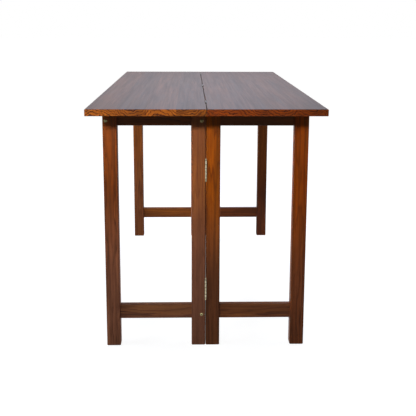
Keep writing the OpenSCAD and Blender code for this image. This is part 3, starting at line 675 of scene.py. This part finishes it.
shank = add_node(tree, "GeometryNodeMeshCylinder", {"Vertices": 32, "Radius": came["Shank Radius"],
                                                    "Depth": came["Shank Length"]})
shank = add_node(tree, "GeometryNodeTransform", {"Geometry": shank, "Translation": came["Shank Place"]})
put_on_points(tree, came, [head, shank, thread(tree, came)], turned=True)

# An M6 bolt with a 10 mm head, whose other sizes follow from the head's width. Its thread starts just short
# of its end.
pitch, threaded, lead_in = 0.001, 0.024, 0.0004
for node in ("near_frame_bolts", "far_frame_bolts"):
    places, length, width = places_of(node)
    head_height, shank_width, socket_width = 0.18 * width, 0.6 * width, 0.4 * width
    grow(node, tree, {
        "Head Radius": width / 2, "Dome": head_height - rim, "Head Place": below(head_height - rim / 2),
        "Socket Radius": socket_width / math.sqrt(3), "Socket Length": 1.4 * head_height,
        "Shank Radius": 0.45 * shank_width, "Shank Length": length - head_height,
        "Shank Place": below((length + head_height) / 2),
        "Thread Radius": 0.445 * shank_width, "Thread End Radius": 0.445 * shank_width,
        "Thread Length": threaded, "Turns": threaded / pitch, "Ridge": 0.055 * shank_width,
        "Thread Place": below(length - lead_in)}, bolt_brass, places)

# Zinc plate: cool light grey with a soft shine
zinc = aged_metal("zinc_plated_steel", "b4b6b8", "8f9296", 0.35)
tree, came = new_tree("barrel_nut", ["Radius", "Length", "Bore Radius", "Bore Length"],
                      ["Slot Size", "Slot Place", "Middle"])
nut = add_node(tree, "GeometryNodeMeshCylinder", {"Vertices": 48, "Radius": came["Radius"],
                                                  "Depth": came["Length"]})
bore = add_node(tree, "GeometryNodeMeshCylinder", {"Vertices": 32, "Radius": came["Bore Radius"],
                                                   "Depth": came["Bore Length"]})
bore = add_node(tree, "GeometryNodeTransform", {"Geometry": bore, "Rotation": (math.pi / 2, 0.0, 0.0)})
slot = add_node(tree, "GeometryNodeMeshCube", {"Size": came["Slot Size"]})
slot = add_node(tree, "GeometryNodeTransform", {"Geometry": slot, "Translation": came["Slot Place"]})
for cutter in (bore, slot):
    nut = add_node(tree, "GeometryNodeMeshBoolean", {0: nut, 1: cutter}, operation="DIFFERENCE",
                   solver="EXACT")
nut = add_node(tree, "GeometryNodeTransform", {"Geometry": nut, "Translation": came["Middle"]})
put_on_points(tree, came, [nut])
places, length, width = places_of("barrel_nuts")
grow("barrel_nuts", tree, {
    "Radius": width / 2, "Length": length, "Bore Radius": 0.3 * width, "Bore Length": 2 * width,
    "Slot Size": (2 * width, 0.15 * width, 0.25 * width), "Slot Place": (0.0, 0.0, length / 2),
    "Middle": below(length / 2)}, zinc, places)


# Wood screws
# Countersunk slotted screws with tapered cores and coarse rolled threads: zinc plated in the cleats, and in
# the hinges' own brass or bronze where they show.
tree, came = new_tree("countersunk_screw", ["Head Radius", "Neck Radius", "Head Height", "Core Radius",
                                            "Core End Radius", "Core Length", "Tip Length"] + thread_sizes,
                      ["Slot Size", "Head Place", "Core Place", "Tip Place", "Thread Place"])
head = add_node(tree, "GeometryNodeMeshCone", {
    "Vertices": 32, "Radius Top": came["Head Radius"], "Radius Bottom": came["Neck Radius"],
    "Depth": came["Head Height"]})
head = add_node(tree, "GeometryNodeTransform", {"Geometry": head, "Translation": came["Head Place"]})
slot = add_node(tree, "GeometryNodeMeshCube", {"Size": came["Slot Size"]})
head = add_node(tree, "GeometryNodeMeshBoolean", {0: head, 1: slot}, operation="DIFFERENCE", solver="EXACT")
core = add_node(tree, "GeometryNodeMeshCone", {
    "Vertices": 24, "Radius Top": came["Core Radius"], "Radius Bottom": came["Core End Radius"],
    "Depth": came["Core Length"]})
core = add_node(tree, "GeometryNodeTransform", {"Geometry": core, "Translation": came["Core Place"]})
tip = add_node(tree, "GeometryNodeMeshCone", {
    "Vertices": 24, "Radius Top": came["Core End Radius"], "Radius Bottom": 0.0, "Depth": came["Tip Length"]})
tip = add_node(tree, "GeometryNodeTransform", {"Geometry": tip, "Translation": came["Tip Place"]})
put_on_points(tree, came, [head, core, tip, thread(tree, came)], turned=True)

# Lacquered brass: pale straw yellow, softly shiny. Dark bronze: nearly black brown with a dim shine.
brass_look = ("c2b99e", "a2977a", 0.3)
bronze_look = ("4a3a2c", "32261c", 0.42)
hinge_brass = aged_metal("lacquered_brass", *brass_look)
dark_bronze = aged_metal("dark_bronze", *bronze_look)
screws = {
    "cleat_apron_screws": zinc, "cleat_leaf_screws": zinc, "frame_hinge_screws": hinge_brass,
    "near_gate_hinge_screws": hinge_brass, "far_gate_hinge_screws": hinge_brass,
    "fixed_leaf_hinge_screws": dark_bronze, "folding_leaf_hinge_screws": dark_bronze,
}
for node, metal in screws.items():
    # The other sizes follow from the head's width and the length. The thread covers two thirds of the core.
    places, length, width = places_of(node)
    head_height, shank_width = width / 3.8, width / 1.9
    core_length = length - shank_width
    threaded, pitch = 0.66 * core_length, 0.42 * shank_width
    grow(node, tree, {
        "Head Radius": width / 2, "Neck Radius": shank_width / 2, "Head Height": head_height,
        "Head Place": below(head_height), "Slot Size": (1.2 * width, 0.13 * width, 0.9 * head_height),
        "Core Radius": 0.42 * shank_width, "Core End Radius": 0.3 * shank_width, "Core Length": core_length,
        "Core Place": below(core_length), "Tip Length": shank_width, "Tip Place": below(length),
        "Thread Radius": 0.3 * shank_width, "Thread End Radius": 0.38 * shank_width,
        "Thread Length": threaded, "Turns": threaded / pitch, "Ridge": 0.12 * shank_width,
        "Thread Place": below(core_length)}, metal, places)


# Butt hinges
# Each gate hangs on two drawn brass butt hinges with ball tipped pins, and three small dark bronze ones join
# the leaves. Pressed plates with rolled knuckles, let in flush with the wood, their edges broken by tumbling.
def broken_edges(node, metal, radius):
    """Puts a copy of a hinge piece with its sharp edges rounded in its place."""
    flat_angle, sharp_angle = math.radians(0.5), math.radians(40)
    shape = bmesh.new()
    shape.from_mesh(frame["nodes"][node].data)
    bmesh.ops.remove_doubles(shape, verts=shape.verts, dist=same_corner)
    bmesh.ops.dissolve_limit(shape, verts=shape.verts, edges=shape.edges, angle_limit=flat_angle)
    edges = [edge for edge in shape.edges if edge.is_manifold and edge.calc_face_angle() > sharp_angle]
    bmesh.ops.bevel(shape, geom=edges, offset=radius, segments=2, profile=0.5, affect="EDGES",
                    clamp_overlap=True)
    for face in shape.faces:
        face.smooth = True
    for edge in shape.edges:
        edge.smooth = not edge.is_manifold or edge.calc_face_angle() < crease
    mesh = bpy.data.meshes.new("made_" + node)
    shape.to_mesh(mesh)
    shape.free()
    put_in_place_of(node, mesh, metal)


# Radius of the barrels and of the broken edges, on the gates' hinges and on those in the top
knuckles = 5
gate_barrel, gate_edge = 0.0033, 0.0002
top_barrel, top_edge = 0.0022, 0.00015
for end in ("near", "far"):
    for level in ("upper", "lower"):
        hinge = "%s_%s" % (end, level)
        knuckle = 2 * middle_of(hinge + "_frame_plate")[1].z / knuckles
        # Each hinge's metal has painted shade in its knuckle joints and along its barrel's sides
        barrel = (middle_of(hinge + "_pin")[0], grain_up, gate_barrel, knuckle)
        metal = aged_metal("lacquered_brass_%s_hinge" % hinge, *brass_look, barrel=barrel)
        for part in ("frame_plate", "gate_plate", "pin"):
            broken_edges("%s_%s" % (hinge, part), metal, gate_edge)
for place in ("near", "middle", "far"):
    hinge = place + "_top_hinge"
    knuckle = 2 * middle_of(hinge + "_fixed_plate")[1].y / knuckles
    # Each hinge's metal has painted shade in its knuckle joints and along its barrel's sides
    barrel = (middle_of(hinge + "_pin")[0], grain_along, top_barrel, knuckle)
    metal = aged_metal("dark_bronze_" + hinge, *bronze_look, barrel=barrel)
    for part in ("fixed_plate", "leaf_plate", "pin"):
        broken_edges("%s_%s" % (hinge, part), metal, top_edge)
